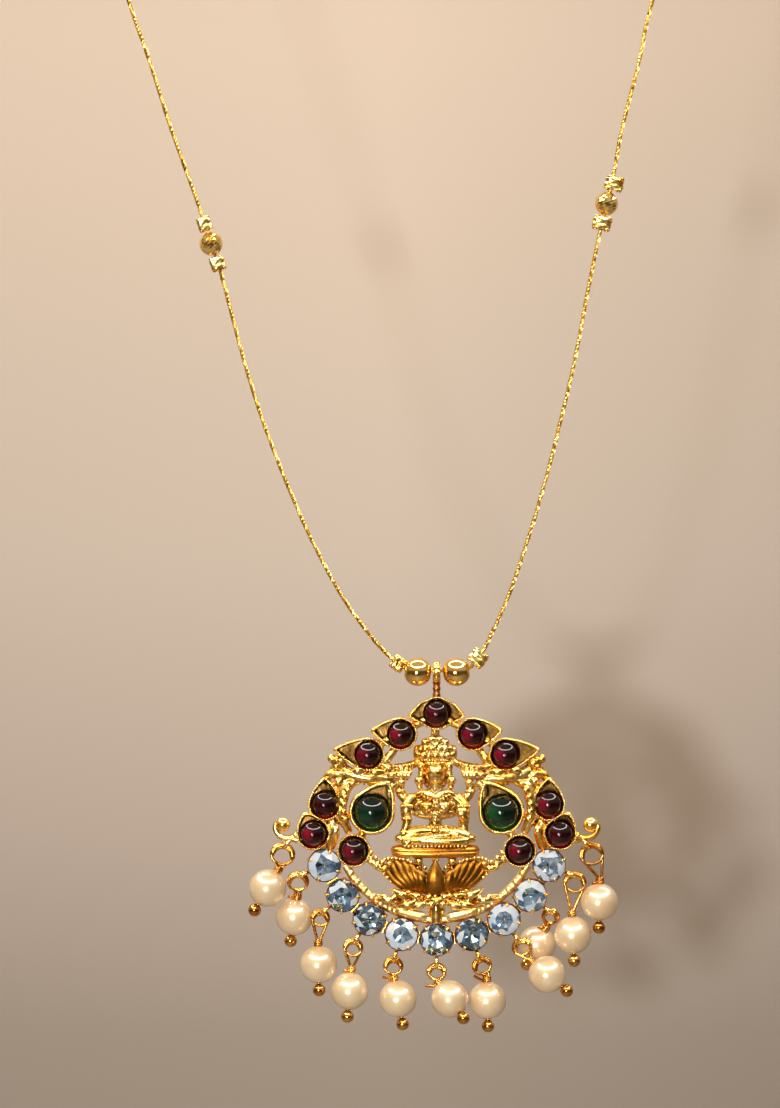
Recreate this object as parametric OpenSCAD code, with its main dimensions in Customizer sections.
// Temple necklace: a jewelled pendant with pearl drops, on a twisted cable with gold beads.
// Millimetres. Z is up, the front faces -Y, and the origin is the middle of the clasp at the nape.
// Pendant modules use their own frame: its origin is the cable's axis inside the bail.

/* [Cable] */
// Diameter of the twisted cable
cable_d = 0.45; // [0.4:0.01:0.46]
// Height of the bail below the nape
neck_drop = 142; // [138:1:146]
// Distance of the cable's front plane from the nape
neck_reach = 103; // [100:1:105]
// Sideways shift of the pendant along the cable
bail_shift = 5; // [3:1:6]

/* [Cable fittings] */
// Diameter of the two beads beside the bail
centre_bead_d = 3; // [2.6:0.1:3]
// Diameter of the bead part way up each side
side_bead_d = 2.5; // [2.2:0.1:2.5]
// Length of a crushed crimp
crimp_len = 1.6; // [1.4:0.1:1.6]
// Length of the clasp
clasp_len = 9; // [8:0.5:10]
// Diameter of the clasp
clasp_d = 4; // [3:0.5:5]

/* [Stones] */
// Diameter of a red stone
ruby_d = 2.96; // [2.8:0.02:3]
// Diameter of a green stone
green_d = 3.86; // [3.7:0.02:3.9]
// Diameter of a clear stone
crystal_d = 3.12; // [3:0.02:3.14]
// Diameter of a pearl
pearl_d = 4; // [3.8:0.05:4]

/* [Metalwork] */
// Radius of the arc of clear stones
arc_r = 13; // [12.95:0.05:13.1]
// Angle between two clear stones
arc_step = 16.7; // [16.6:0.1:16.8]
// Wall of a stone's setting
bezel_wall = 0.27; // [0.22:0.01:0.32]
// Wire of the eyelets that carry the drops
eyelet_wire_d = 0.4; // [0.36:0.02:0.42]
// Wire of the headpins' loops
loop_wire_d = 0.36; // [0.3:0.02:0.38]

/* [Hidden] */
sides = [-1, 1];
bail_at = [bail_shift, -neck_reach, -neck_drop];
cable_r = cable_d / 2;
gap = 0.03;

// Cable route round one side of the neck, from the clasp to the front. Columns: sideways, depth, height
neck_side = [
    [8, 0, 0], [15, -0.5, 0], [25, -3, -0.5], [35, -8, -1], [43.5, -15.5, -2], [49.8, -25, -3.5],
    [53, -36, -5.5], [53.6, -48, -9], [51.6, -60, -14], [47.8, -71, -21], [43, -81, -30], [38, -89, -41],
    [33, -95.5, -54]
];
// Cable route in the front plane, from the neck down to the bail. Columns: sideways and height above it
front_left = [
    [-32.8, 71.3], [-30.6, 65], [-28.2, 57.5], [-25.5, 50], [-25.05, 48.55], [-24, 45.4],
    [-22.95, 42.25], [-20.5, 33], [-18.5, 26.6], [-16.1, 20.3], [-13.3, 13.9], [-10, 7.8],
    [-6.8, 3.4], [-4.65, 1.15], [-3.45, 0.3], [-2, 0.03], [-0.55, 0]
];
front_right = [
    [23, 71.3], [21.6, 65], [19.7, 57.5], [18.85, 52.85], [18.1, 49.7], [17.35, 46.55], [15.9, 39.4],
    [14.7, 33], [13.2, 26.6], [11.6, 20.3], [9.7, 13.9], [7.6, 7.8], [5.65, 3.5], [4.9, 2],
    [3.85, 0.62], [3.5, 0.3], [2.1, 0.03], [0.55, 0]
];
cable_sides = 8;
clasp_grip = 1.5;

// Rows of the two tables above where the side beads and the centre crimps are
left_bead_row = 5;
right_bead_row = 4;
left_crimp_row = 13;
right_crimp_row = 13;

// Depths of the pendant's layers, from the flat back to the front
plate_back = 0.9;
web_front = 0.25;
bezel_floor = 0.45;
bezel_front = -1.05;
girdle_y = -0.75;
ruby_dome = 1.3;
green_dome = 1.7;
cup_front = -0.75;
crystal_girdle_y = -0.8;

// Stone settings on the right side, mirrored on the left.
// Columns: stone across and height, then the setting's pointed end, across and up from the stone
ruby_rows = [
    [3.83, -6.74, 2.87, 0.37],
    [7.30, -8.89, 3.40, 0.48],
    [11.89, -14.16, 0, 2.60],
    [13.11, -17.30, 0.90, 2.00],
    [8.83, -19.11, 0, 0]
];
green_row = [6.89, -14.98, -1.75, 3.10];
green_wall = 0.5;
top_ruby = [0, -4.53];
top_tip = [2.75, -0.25];
top_peak = 1.5;
ruby_r = ruby_d / 2;
green_r = green_d / 2;
tip_r = 0.3;
seat_play = 0.05;

// Row of clear stones round the lotus
arc_z = -15.57;
arc_count = 9;
arc_half = (arc_count - 1) / 2;
crystal_r = crystal_d / 2;
cup_r = 1.86;
cup_floor = 0.35;
claw_r = 0.22;
claw_reach = 1.2;
rail_r = 10.95;
rail_w = 0.65;
rail_front = -0.35;
rail_half_angle = 62;

// Eyelets and drops
eyelet_r = 0.62;
eyelet_y = 0.1;
eyelet_arc_r = 15.45;
eyelet_wire_r = eyelet_wire_d / 2;
end_eyelet = [15.85, -18.35];
end_eyelet_angle = 50;
loop_wire_r = loop_wire_d / 2;
loop_slack = 0.04;
pearl_r = pearl_d / 2;
pearl_hole_r = 0.3;
shank_r = 0.16;
leg_r = 0.15;
wrap_r = 0.3;
wrap_wire_r = 0.17;
wrap_pitch = 0.28;
wrap_reach = pearl_r + gap + 2 * wrap_wire_r + wrap_pitch;
ball_r = 0.68;
// Drops from the left end to the right.
// Columns: pearl across, depth and height, way of the pin's ball across and up, and the loop's radius
drops = [
    [-17.99, 0.1, -23.15, -1.22, -2.07, 1.15],
    [-15.17, 1.2, -26.29, -0.36, -2.33, 1.0],
    [-12.56, 0.1, -31.29, 0.05, -2.60, 0.86],
    [-9.27, 0.1, -34.11, -0.21, -2.55, 0.9],
    [-4.11, 0.1, -34.96, 0.46, -2.44, 0.9],
    [1.37, -2.1, -34.74, 1.52, -2.03, 0.9],
    [5.41, 0.1, -35.12, 0.06, -2.67, 0.9],
    [11.74, -1.0, -32.24, 1.92, -1.55, 0.9],
    [10.75, 2.0, -29.30, -0.80, -1.65, 0.8],
    [14.51, 0.1, -28.15, 0.11, -2.39, 1.06],
    [17.33, 0.1, -24.64, -0.05, -2.55, 1.15]
];

ruby_names = [for (i = [1:11]) str("ruby_", i)];
green_names = ["green_left", "green_right"];
crystal_names = [for (i = [1:arc_count]) str("crystal_", i)];
headpin_names = [for (i = [1:len(drops)]) str("headpin_", i)];
pearl_names = [for (i = [1:len(drops)]) str("pearl_", i)];
fitting_names = [
    "strand", "barrel_clasp", "crimp_left_upper", "crimp_left_lower", "crimp_right_upper",
    "crimp_right_lower", "crimp_centre_left", "crimp_centre_right", "bead_side_left",
    "bead_side_right", "bead_centre_left", "bead_centre_right"
];

function unit(v) = v / norm(v);
function across(v, way) = unit(v - way * (v * way));
function way_at(points, i) = unit(points[min(i + 1, len(points) - 1)] - points[max(i - 1, 0)]);

// A tube along points, with its rings carried on without twist, that may taper to its far end
module tube(points, r, end_r, count) {
    last = len(points) - 1;
    ways = [for (i = [0:last]) way_at(points, i)];
    normals = [
        for (i = 0, n = across([0.1, 0.2, 1], ways[0]); i <= last;
             i = i + 1, n = i <= last ? across(n, ways[i]) : n) n
    ];
    rings = [
        for (i = [0:last], k = [0:count - 1])
            let (a = 360 * k / count, ring_r = r + (end_r - r) * i / last)
            points[i] + ring_r * (normals[i] * cos(a) + cross(ways[i], normals[i]) * sin(a))
    ];
    walls = [
        for (i = [0:last - 1], k = [0:count - 1])
            let (a = i * count, next = (k + 1) % count)
            [a + k, a + count + k, a + count + next, a + next]
    ];
    ends = [
        [for (k = [0:count - 1]) k],
        [for (k = [count - 1:-1:0]) last * count + k]
    ];
    polyhedron(points = rings, faces = concat(walls, ends), convexity = 6);
}

// Points of the whole route, round the left side and back up the right
function front_point(row) = bail_at + [row[0], 0, row[1]];
function neck_point(row, side) = [side * row[0], row[1] * neck_reach / 100, row[2] * neck_drop / 140];
route = concat(
    [[clasp_grip - clasp_len / 2, 0, 0]],
    [for (row = neck_side) neck_point(row, -1)],
    [for (row = front_left) front_point(row)],
    [for (i = [len(front_right) - 1:-1:0]) front_point(front_right[i])],
    [for (i = [len(neck_side) - 1:-1:0]) neck_point(neck_side[i], 1)],
    [[clasp_len / 2 - clasp_grip, 0, 0]]
);

module strand() {
    color("goldenrod") tube(route, cable_r, cable_r, cable_sides);
}

module turned_x() {
    rotate([0, 90, 0]) children();
}

// Turns local X to the way from one front point of the cable to another, part way between them
module on_cable(a, b, slide = 0.5, sag = 0) {
    way = front_point(b) - front_point(a);
    translate(front_point(a) + slide * way - [0, 0, sag])
        rotate([0, -atan2(way[2], way[0]), 0])
            children();
}

module barrel_clasp() {
    end_r = clasp_d * 0.3;
    rim = clasp_len * 0.42;
    bore_r = cable_r + gap;
    bore_depth = 2;
    color("gold")
        turned_x()
            difference() {
                rotate_extrude($fn = 48)
                    polygon([
                        [0, -clasp_len / 2], [end_r, -clasp_len / 2], [clasp_d / 2, -rim / 2],
                        [clasp_d / 2, rim / 2], [end_r, clasp_len / 2], [0, clasp_len / 2]
                    ]);
                for (side = sides)
                    translate([0, 0, side * clasp_len / 2])
                        cylinder(h = 2 * bore_depth, r = bore_r, center = true, $fn = 24);
            }
}

// A tube crushed flat on the cable
module crimp(length) {
    tube_r = 0.85;
    flat = 1.15;
    play = 0.05;
    color("gold")
        turned_x()
            difference() {
                intersection() {
                    cylinder(h = length, r = tube_r, center = true, $fn = 32);
                    cube([flat, 2 * tube_r, length], center = true);
                }
                cylinder(h = 2 * length, r = cable_r + play, center = true, $fn = 24);
            }
}

// A ball with a hole along X
module drilled_bead(d, hole_r) {
    color("gold")
        turned_x()
            difference() {
                sphere(d = d, $fn = 48);
                cylinder(h = 2 * d, r = hole_r, center = true, $fn = 32);
            }
}

module crimp_left_upper() {
    i = left_bead_row;
    on_cable(front_left[i - 1], front_left[i], 1 / 3) crimp(crimp_len);
}

module crimp_left_lower() {
    i = left_bead_row;
    on_cable(front_left[i], front_left[i + 1], 2 / 3) crimp(crimp_len);
}

module crimp_right_upper() {
    i = right_bead_row;
    on_cable(front_right[i - 1], front_right[i], 1 / 3) crimp(crimp_len);
}

module crimp_right_lower() {
    i = right_bead_row;
    on_cable(front_right[i], front_right[i + 1], 2 / 3) crimp(crimp_len);
}

module crimp_centre_left() {
    i = left_crimp_row;
    on_cable(front_left[i], front_left[i + 1], 0.48) crimp(crimp_len * 0.8);
}

module crimp_centre_right() {
    i = right_crimp_row;
    on_cable(front_right[i], front_right[i + 1], 0.5) crimp(crimp_len);
}

module bead_side_left() {
    i = left_bead_row;
    on_cable(front_left[i - 1], front_left[i + 1]) drilled_bead(side_bead_d, 0.4);
}

module bead_side_right() {
    i = right_bead_row;
    on_cable(front_right[i - 1], front_right[i + 1]) drilled_bead(side_bead_d, 0.4);
}

// Centre beads hang a little below the cable, which lies in the top of their holes
module bead_centre_left() {
    on_cable([-3.4, 0.3], [-0.6, 0], 0.5, 0.3) drilled_bead(centre_bead_d, 0.6);
}

module bead_centre_right() {
    on_cable([0.6, 0], [3.6, 0.3], 0.5, 0.3) drilled_bead(centre_bead_d, 0.6);
}

// Extrudes a front view from one depth to another, the nearer one in front
module slab(back, front) {
    translate([0, back, 0])
        rotate([90, 0, 0])
            linear_extrude(back - front)
                children();
}

module both_sides() {
    children();
    mirror([1, 0, 0]) children();
}

// A five-sided stem along points
module stem(points, r, end_r = undef) {
    tube(points, r, is_undef(end_r) ? r : end_r, 5);
}

// A rounded rod between two points
module rod(a, b, r, end_r = undef, fn = 6) {
    hull() {
        translate(a) sphere(r = r, $fn = fn);
        translate(b) sphere(r = is_undef(end_r) ? r : end_r, $fn = fn);
    }
}

// A stretched ball
module blob(at, size, fn = 6) {
    translate(at) scale(size) sphere(r = 1, $fn = fn);
}

// A leaf or limb: one skin over two stretched balls
module limb(at, size, end_at, end_size, fn = 6) {
    hull() {
        blob(at, size, fn);
        blob(end_at, end_size, fn);
    }
}

// Outline of a round setting that runs out to a point
module drop_outline(r, tip, point_r) {
    hull() {
        circle(r = r, $fn = 18);
        if (norm(tip) > 0) translate(tip) circle(r = point_r, $fn = 6);
    }
}

// A closed-back setting, solid until its pocket is cut
module bezel(at, stone_r, tip, wall = bezel_wall) {
    translate([at[0], 0, at[1]])
        slab(plate_back, bezel_front) drop_outline(stone_r + seat_play + wall, tip, tip_r);
}

module pocket(at, stone_r, tip, wall = bezel_wall) {
    reach = norm(tip);
    inner_tip = reach > 0 ? tip * (reach - wall) / reach : tip;
    translate([at[0], 0, at[1]])
        slab(bezel_floor, bezel_front - 1) drop_outline(stone_r + seat_play, inner_tip, tip_r / 3);
}

// Outline of the top setting, with a point on both sides and a low peak under the bail
module top_outline(r, reach, peak, point_r) {
    hull() {
        circle(r = r, $fn = 18);
        translate([0, peak]) circle(r = point_r, $fn = 6);
        for (side = sides)
            translate([side * reach, top_tip[1]]) circle(r = point_r, $fn = 6);
    }
}

module top_bezel() {
    translate([top_ruby[0], 0, top_ruby[1]])
        slab(plate_back, bezel_front)
            top_outline(ruby_r + seat_play + bezel_wall, top_tip[0], top_peak, tip_r);
}

module top_pocket() {
    translate([top_ruby[0], 0, top_ruby[1]])
        slab(bezel_floor, bezel_front - 1)
            top_outline(ruby_r + seat_play, top_tip[0] - bezel_wall, top_peak - bezel_wall, tip_r / 3);
}

module settings() {
    top_bezel();
    both_sides() {
        for (row = ruby_rows) bezel([row[0], row[1]], ruby_r, [row[2], row[3]]);
        bezel([green_row[0], green_row[1]], green_r, [green_row[2], green_row[3]], green_wall);
        blob([10.25, -0.3, -9.8], [0.72, 0.7, 0.72]);
    }
}

// Place on the arc of clear stones, with X outwards from the arc's centre
module on_arc(k, r) {
    translate([0, 0, arc_z]) rotate([0, 90 + k * arc_step, 0]) translate([r, 0, 0]) children();
}

// A round cup with four claws beside its clear stone
module claw_cup() {
    claw_at = crystal_r + seat_play + gap + claw_r;
    slab(plate_back, cup_front) circle(r = cup_r, $fn = 16);
    for (a = [45:90:315])
        translate([claw_at * cos(a), 0, claw_at * sin(a)])
            rotate([90, 0, 0]) cylinder(h = claw_reach, r1 = claw_r, r2 = claw_r * 0.7, $fn = 5);
}

// A flat band that follows a circle about the arc's centre
module arc_band(r, width, half_angle, back, front) {
    step = half_angle / 8;
    inner = r - width / 2;
    outer = r + width / 2;
    translate([0, 0, arc_z])
        slab(back, front)
            polygon(concat(
                [for (a = [-half_angle:step:half_angle]) inner * [sin(a), -cos(a)]],
                [for (a = [half_angle:-step:-half_angle]) outer * [sin(a), -cos(a)]]
            ));
}

module crystal_row() {
    link = [1.2, 1.2];
    for (k = [-arc_half:arc_half]) on_arc(k, arc_r) claw_cup();
    for (k = [0.5 - arc_half:arc_half - 0.5])
        on_arc(k, arc_r) slab(plate_back, web_front) square(link, center = true);
    arc_band(rail_r, rail_w, rail_half_angle, plate_back, rail_front);
}

module pockets() {
    top_pocket();
    both_sides() {
        for (row = ruby_rows) pocket([row[0], row[1]], ruby_r, [row[2], row[3]]);
        pocket([green_row[0], green_row[1]], green_r, [green_row[2], green_row[3]], green_wall);
    }
    for (k = [-arc_half:arc_half])
        on_arc(k, arc_r) slab(cup_floor, cup_front - 1) circle(r = crystal_r + seat_play, $fn = 16);
}

// A ring that stands out from the arc, seen on edge from the front
module eyelet() {
    rotate_extrude($fn = 10) translate([eyelet_r, 0]) circle(r = eyelet_wire_r, $fn = 5);
}

module eyelets() {
    for (k = [-arc_half:arc_half]) on_arc(k, eyelet_arc_r) translate([0, eyelet_y, 0]) eyelet();
    both_sides() {
        translate([end_eyelet[0], eyelet_y, end_eyelet[1]])
            rotate([0, end_eyelet_angle, 0]) eyelet();
        rod([14.2, eyelet_y, -17.9], [15.4, eyelet_y, -17.9], 0.4, 0.3, 6);
    }
}

// A ring across the cable and a short neck down to the top setting
module bail() {
    ring_r = 0.82;
    ring_wire_r = 0.4;
    ring_drop = 0.175;
    translate([0, 0, -ring_drop])
        turned_x()
            rotate_extrude($fn = 20) translate([ring_r, 0]) circle(r = ring_wire_r, $fn = 8);
    tube([[0, 0.05, -1.3], [0, 0.05, -3.1]], 0.4, 0.42, 8);
}

// Curled horn with a ball at each outer end
module curls() {
    both_sides() {
        stem([[14.2, 0.1, -17.2], [14.9, 0.1, -17.6], [15.8, 0.1, -17.8], [16.6, 0.1, -17.6],
              [17.1, 0.1, -17.0], [17.15, 0.1, -16.5]], 0.38, 0.25);
        blob([16.4, -0.1, -16.37], [0.78, 0.72, 0.78], 10);
    }
}

// Flat bridges behind the settings that tie them together
module webs() {
    links = [
        [[0, -4.6], [3.83, -6.6]], [[3.83, -6.6], [7.3, -8.5]], [[7.3, -9.5], [7.4, -12.2]],
        [[10.2, -9.6], [12.1, -12]], [[11.89, -14.2], [13.1, -17.2]], [[11, -16.2], [11.2, -18.6]],
        [[9.2, -15.8], [11.4, -14.6]], [[8.4, -18.6], [7.6, -16.6]], [[9.6, -19.5], [11.4, -20.4]]
    ];
    both_sides()
        for (link = links)
            slab(plate_back, web_front)
                hull() {
                    translate(link[0]) circle(r = 0.5, $fn = 6);
                    translate(link[1]) circle(r = 0.5, $fn = 6);
                }
}

// Stems, buds and scrolls between the settings and the figure
module scrolls() {
    both_sides() {
        stem([[1.6, 0, -9.3], [3.0, -0.2, -9.8], [4.6, -0.2, -10.15], [6.3, -0.1, -10.0]], 0.36);
        stem([[5.9, -0.1, -10.1], [4.9, 0, -9.1], [4.2, 0, -8.3]], 0.36);
        stem([[10.0, 0, -10.3], [8.7, -0.3, -11.0], [7.2, -0.4, -11.35], [5.4, -0.3, -11.25],
              [3.8, -0.2, -11.7]], 0.52, 0.44);
        stem([[8.2, -0.3, -11.2], [9.2, -0.3, -12.1], [9.75, -0.4, -13.4], [9.85, -0.4, -15.2],
              [9.1, -0.2, -16.9]], 0.48);
        stem([[11.2, -0.1, -16.0], [10.9, -0.2, -17.3], [11.2, -0.1, -18.8]], 0.52);
        stem([[12.2, 0, -11.8], [11.3, -0.3, -10.9], [9.9, -0.3, -11.3]], 0.38);
        limb([3.5, -0.4, -11.3], [0.68, 0.6, 0.85], [3.1, -0.3, -9.9], [0.3, 0.3, 0.3]);
        blob([4.5, -0.3, -12.5], [0.6, 0.45, 0.55]);
        stem([[3.5, 0, -11.8], [3.5, -0.2, -12.7], [2.6, -0.4, -13.5]], 0.44);
    }
}

// Crown with a knob that meets the top setting, and ornaments beside the head
module crown() {
    limb([0, -0.7, -9.3], [1.75, 1.0, 0.58], [0, -0.4, -8.0], [1.35, 0.75, 0.62], 8);
    blob([0, -0.4, -7.3], [0.55, 0.55, 0.55]);
    tube([[0, 0.3, -5.8], [0, 0.1, -7.6]], 0.45, 0.45, 6);
    both_sides() {
        blob([1.7, -0.4, -8.5], [0.5, 0.5, 0.7]);
        limb([1.35, -0.3, -9.5], [0.38, 0.5, 0.4], [1.62, -0.5, -11.7], [0.53, 0.5, 0.53]);
    }
}

// Head, trunk, arms and folded legs in cast relief
module figure() {
    blob([0, -0.9, -10.95], [1.15, 1.1, 1.42], 10);
    tube([[0, -0.6, -12], [0, -0.6, -13.2]], 0.62, 0.7, 6);
    limb([0, -0.5, -13.45], [2.4, 0.8, 0.78], [0, -0.6, -14.5], [1.6, 0.85, 0.8], 8);
    tube([[0, -0.5, -14.6], [0, -0.5, -17.2]], 1.15, 1.0, 8);
    both_sides() {
        blob([0.92, -1.35, -14.35], [0.66, 0.6, 0.66]);
        rod([2.2, -0.5, -13.5], [2.8, -0.6, -15.0], 0.7, 0.62);
        rod([2.8, -0.6, -15.0], [2.7, -0.9, -16.7], 0.62, 0.55);
        limb([0.9, -0.7, -17.35], [0.85, 0.8, 0.6], [3.3, -0.9, -17.9], [1.05, 0.85, 0.65]);
        blob([2.75, -1.2, -17.1], [0.52, 0.45, 0.52]);
    }
    rod([3.0, -1.3, -18.1], [-2.2, -1.5, -17.8], 0.48, 0.4);
    blob([2.6, -1.2, -15.1], [0.7, 0.55, 0.65]);
}

// Cushion under the figure, on short posts over the lotus
module cushion() {
    hull()
        for (side = sides) {
            blob([side * 3.5, -0.5, -18.7], [0.95, 1.05, 0.52]);
            blob([side * 3.55, -0.3, -19.35], [0.65, 0.8, 0.42]);
        }
    both_sides() {
        blob([2.95, -1.5, -18.5], [0.44, 0.4, 0.38]);
        tube([[3.6, 0.1, -19.3], [4.4, 0.1, -20.6]], 0.45, 0.45, 5);
        tube([[1.4, 0.2, -19.4], [1.9, 0.2, -20.9]], 0.42, 0.42, 5);
    }
}

// Open lotus: a bowl of ribbed petals with a pointed rim
module lotus() {
    petals = 9;
    half = (petals - 1) / 2;
    slab(plate_back, -0.3)
        polygon([[-5.4, -20.4], [-4.7, -21.7], [-3.4, -23.1], [-1.5, -23.9], [1.5, -23.9],
                 [3.4, -23.1], [4.7, -21.7], [5.4, -20.4], [0, -20.8]]);
    for (k = [-half:half]) {
        spread = k / half;
        lift = spread * spread;
        depth = 0.9 * abs(spread) - 1.2;
        hull() {
            blob([2.5 * spread, -0.3, -23.5 + 0.5 * lift], [0.42, 0.5, 0.4]);
            blob([4.3 * spread, depth, -21.8 + 0.3 * lift], [0.74, 0.75, 0.8]);
            blob([5.55 * spread, depth + 0.3, -20.2 + 0.1 * lift], [0.25, 0.3, 0.3]);
        }
    }
}

// Leaves and knot that join the lotus to the rail and to the lowest red stones
module leaves() {
    tube([[0, 0.2, -23.7], [0, 0.2, -27.3]], 0.75, 0.6, 6);
    blob([0, -0.6, -24.4], [0.9, 0.6, 0.6]);
    both_sides() {
        limb([2.2, -0.3, -24.5], [0.52, 0.5, 0.48], [4.0, -0.4, -25.0], [0.42, 0.5, 0.32]);
        limb([2.9, -0.4, -24.0], [0.42, 0.5, 0.38], [4.9, -0.4, -23.3], [0.38, 0.5, 0.38]);
        limb([4.0, -0.3, -24.5], [0.48, 0.5, 0.42], [6.2, -0.3, -24.2], [0.52, 0.5, 0.48]);
        stem([[0.6, 0.3, -24.3], [6.6, 0.3, -24.3]], 0.45);
        stem([[4.9, -0.2, -20.7], [5.9, -0.3, -20.6], [6.9, -0.2, -20.0], [7.6, -0.1, -19.4]], 0.42);
        // Plain bars on the rail's inner edge
        limb([1.3, -0.3, -26.1], [0.3, 0.4, 0.36], [4.0, -0.3, -25.4], [0.3, 0.4, 0.36]);
    }
}

module pendant_frame() {
    color("gold")
        translate(bail_at)
            difference() {
                union() {
                    bail();
                    settings();
                    crystal_row();
                    eyelets();
                    curls();
                    webs();
                    scrolls();
                    translate([-0.15, 0, 0]) {
                        crown();
                        figure();
                        cushion();
                        lotus();
                    }
                    leaves();
                }
                pockets();
            }
}

// Domed stone with a flat base, its back at the pocket's floor
module cabochon(at, r, dome) {
    cap_r = r - gap;
    ball = (cap_r * cap_r + dome * dome) / (2 * dome);
    base_y = bezel_floor - gap;
    translate(bail_at + [at[0], 0, at[1]])
        rotate([90, 0, 0]) {
            translate([0, 0, -base_y]) cylinder(h = base_y - girdle_y, r = r, $fn = 48);
            translate([0, 0, -girdle_y])
                intersection() {
                    translate([0, 0, dome - ball]) sphere(r = ball, $fn = 48);
                    translate([0, 0, -gap]) cylinder(h = 2 * dome, r = 2 * r, $fn = 48);
                }
        }
}

module ruby(number) {
    row = ruby_rows[floor((number - 2) / 2)];
    side = number % 2 == 0 ? -1 : 1;
    at = number == 1 ? top_ruby : [side * row[0], row[1]];
    color("darkred") cabochon(at, ruby_r, ruby_dome);
}

module green(side) {
    color("darkgreen") cabochon([side * green_row[0], green_row[1]], green_r, green_dome);
}

// Round brilliant, its table to the front
module brilliant(r) {
    thin = 0.01;
    table_r = r * 0.56;
    star_r = r * 0.8;
    crown_h = r * 0.34;
    girdle_h = r * 0.06;
    pavilion_h = r * 0.6;
    hull() {
        translate([0, 0, crown_h]) cylinder(h = thin, r = table_r, $fn = 8);
        translate([0, 0, crown_h * 0.58]) rotate(22.5) cylinder(h = thin, r = star_r, $fn = 8);
        translate([0, 0, -girdle_h]) cylinder(h = girdle_h, r = r, $fn = 16);
        translate([0, 0, -girdle_h - pavilion_h]) cylinder(h = thin, r = r * 0.05, $fn = 8);
    }
}

module crystal(number) {
    k = number - 1 - arc_half;
    color("lightsteelblue")
        translate(bail_at)
            on_arc(k, arc_r)
                translate([0, crystal_girdle_y, 0])
                    rotate([90, 0, 0])
                        brilliant(crystal_r);
}

// Place of a drop's eyelet and its way outwards from the metalwork
function is_first(n) = n == 0;
function is_last(n) = n == len(drops) - 1;
function arc_way(k) = [sin(k * arc_step), 0, -cos(k * arc_step)];
function end_side(n) = is_first(n) ? -1 : 1;
function eyelet_at(n) =
    is_first(n) || is_last(n)
        ? [end_side(n) * end_eyelet[0], eyelet_y, end_eyelet[1]]
        : [0, eyelet_y, arc_z] + eyelet_arc_r * arc_way(n - 1 - arc_half);
function eyelet_way(n) =
    is_first(n) || is_last(n)
        ? [end_side(n) * cos(end_eyelet_angle), 0, -sin(end_eyelet_angle)]
        : arc_way(n - 1 - arc_half);
// The pearl's centre, the way down its pin, and the top of the wrapped neck above it
function pearl_at(n) = [drops[n][0], drops[n][1], drops[n][2]];
function pin_way(n) =
    let (flat = [drops[n][3], drops[n][4]],
         depth = (drops[n][1] - eyelet_y) / norm(pearl_at(n) - eyelet_at(n)),
         share = sqrt(1 - depth * depth))
    [share * flat[0] / norm(flat), depth, share * flat[1] / norm(flat)];
function wrap_top(n) = pearl_at(n) - wrap_reach * pin_way(n);

// The loop hangs on the eyelet's wire where the drop pulls it, towards the wrapped neck
function loop_r(n) = drops[n][5];
function hang_at(n) =
    let (pull = unit(wrap_top(n) - eyelet_at(n)), out = eyelet_way(n))
    eyelet_at(n) + eyelet_r * unit(out * max(pull * out, 0.9) + [0, pull[1], 0]);
function loop_way(n) = unit(wrap_top(n) - hang_at(n));
function loop_at(n) =
    hang_at(n) + (loop_r(n) - loop_wire_r - eyelet_wire_r - loop_slack) * loop_way(n);

// Turns local -Z to a way, and keeps local Y near the depth
function lean(way) = [asin(way[1]), atan2(-way[0], -way[2]), 0];

module strut(a, b, r) {
    way = b - a;
    translate(a)
        rotate([0, acos(way[2] / norm(way)), atan2(way[1], way[0])])
            cylinder(h = norm(way), r = r, $fn = 24);
}

module headpin(n) {
    r = loop_r(n);
    reach = norm(wrap_top(n) - loop_at(n));
    foot = reach + 0.1;
    ball_z = -ball_r - pearl_r - gap;
    color("goldenrod")
        translate(bail_at) {
            translate(loop_at(n))
                rotate(lean(loop_way(n))) {
                    rotate([90, 0, 0])
                        rotate_extrude($fn = 48) translate([r, 0]) circle(r = loop_wire_r, $fn = 24);
                    if (reach > r + 0.3)
                        for (side = sides)
                            strut([side * r * cos(20), 0, -r * sin(20)], [side * 0.08, 0, -foot], leg_r);
                    else
                        translate([0, 0, -foot])
                            cylinder(h = max(foot - r + 0.1, 0.2), r = leg_r, $fn = 24);
                }
            translate(pearl_at(n))
                rotate(lean(pin_way(n))) {
                    translate([0, 0, ball_z]) sphere(r = ball_r, $fn = 32);
                    translate([0, 0, ball_z]) cylinder(h = wrap_reach - ball_z, r = shank_r, $fn = 24);
                    for (turn = [0, 1])
                        translate([0, 0, pearl_r + gap + wrap_wire_r + turn * wrap_pitch])
                            rotate_extrude($fn = 32) translate([wrap_r, 0]) circle(r = wrap_wire_r, $fn = 24);
                    translate([0, 0, pearl_r + gap + wrap_wire_r])
                        cylinder(h = wrap_pitch, r = wrap_r, $fn = 32);
                }
        }
}

module pearl(n) {
    color("linen")
        translate(bail_at + pearl_at(n))
            rotate(lean(pin_way(n)))
                difference() {
                    sphere(r = pearl_r, $fn = 48);
                    cylinder(h = 3 * pearl_r, r = pearl_hole_r, center = true, $fn = 24);
                }
}

strand();
barrel_clasp();
crimp_left_upper();
crimp_left_lower();
crimp_right_upper();
crimp_right_lower();
crimp_centre_left();
crimp_centre_right();
bead_side_left();
bead_side_right();
bead_centre_left();
bead_centre_right();
pendant_frame();
for (i = [0:len(ruby_names) - 1]) ruby(i + 1);
green(-1);  // green_left
green(1);  // green_right
for (i = [0:arc_count - 1]) crystal(i + 1);
for (i = [0:len(drops) - 1]) headpin(i);
for (i = [0:len(drops) - 1]) pearl(i);
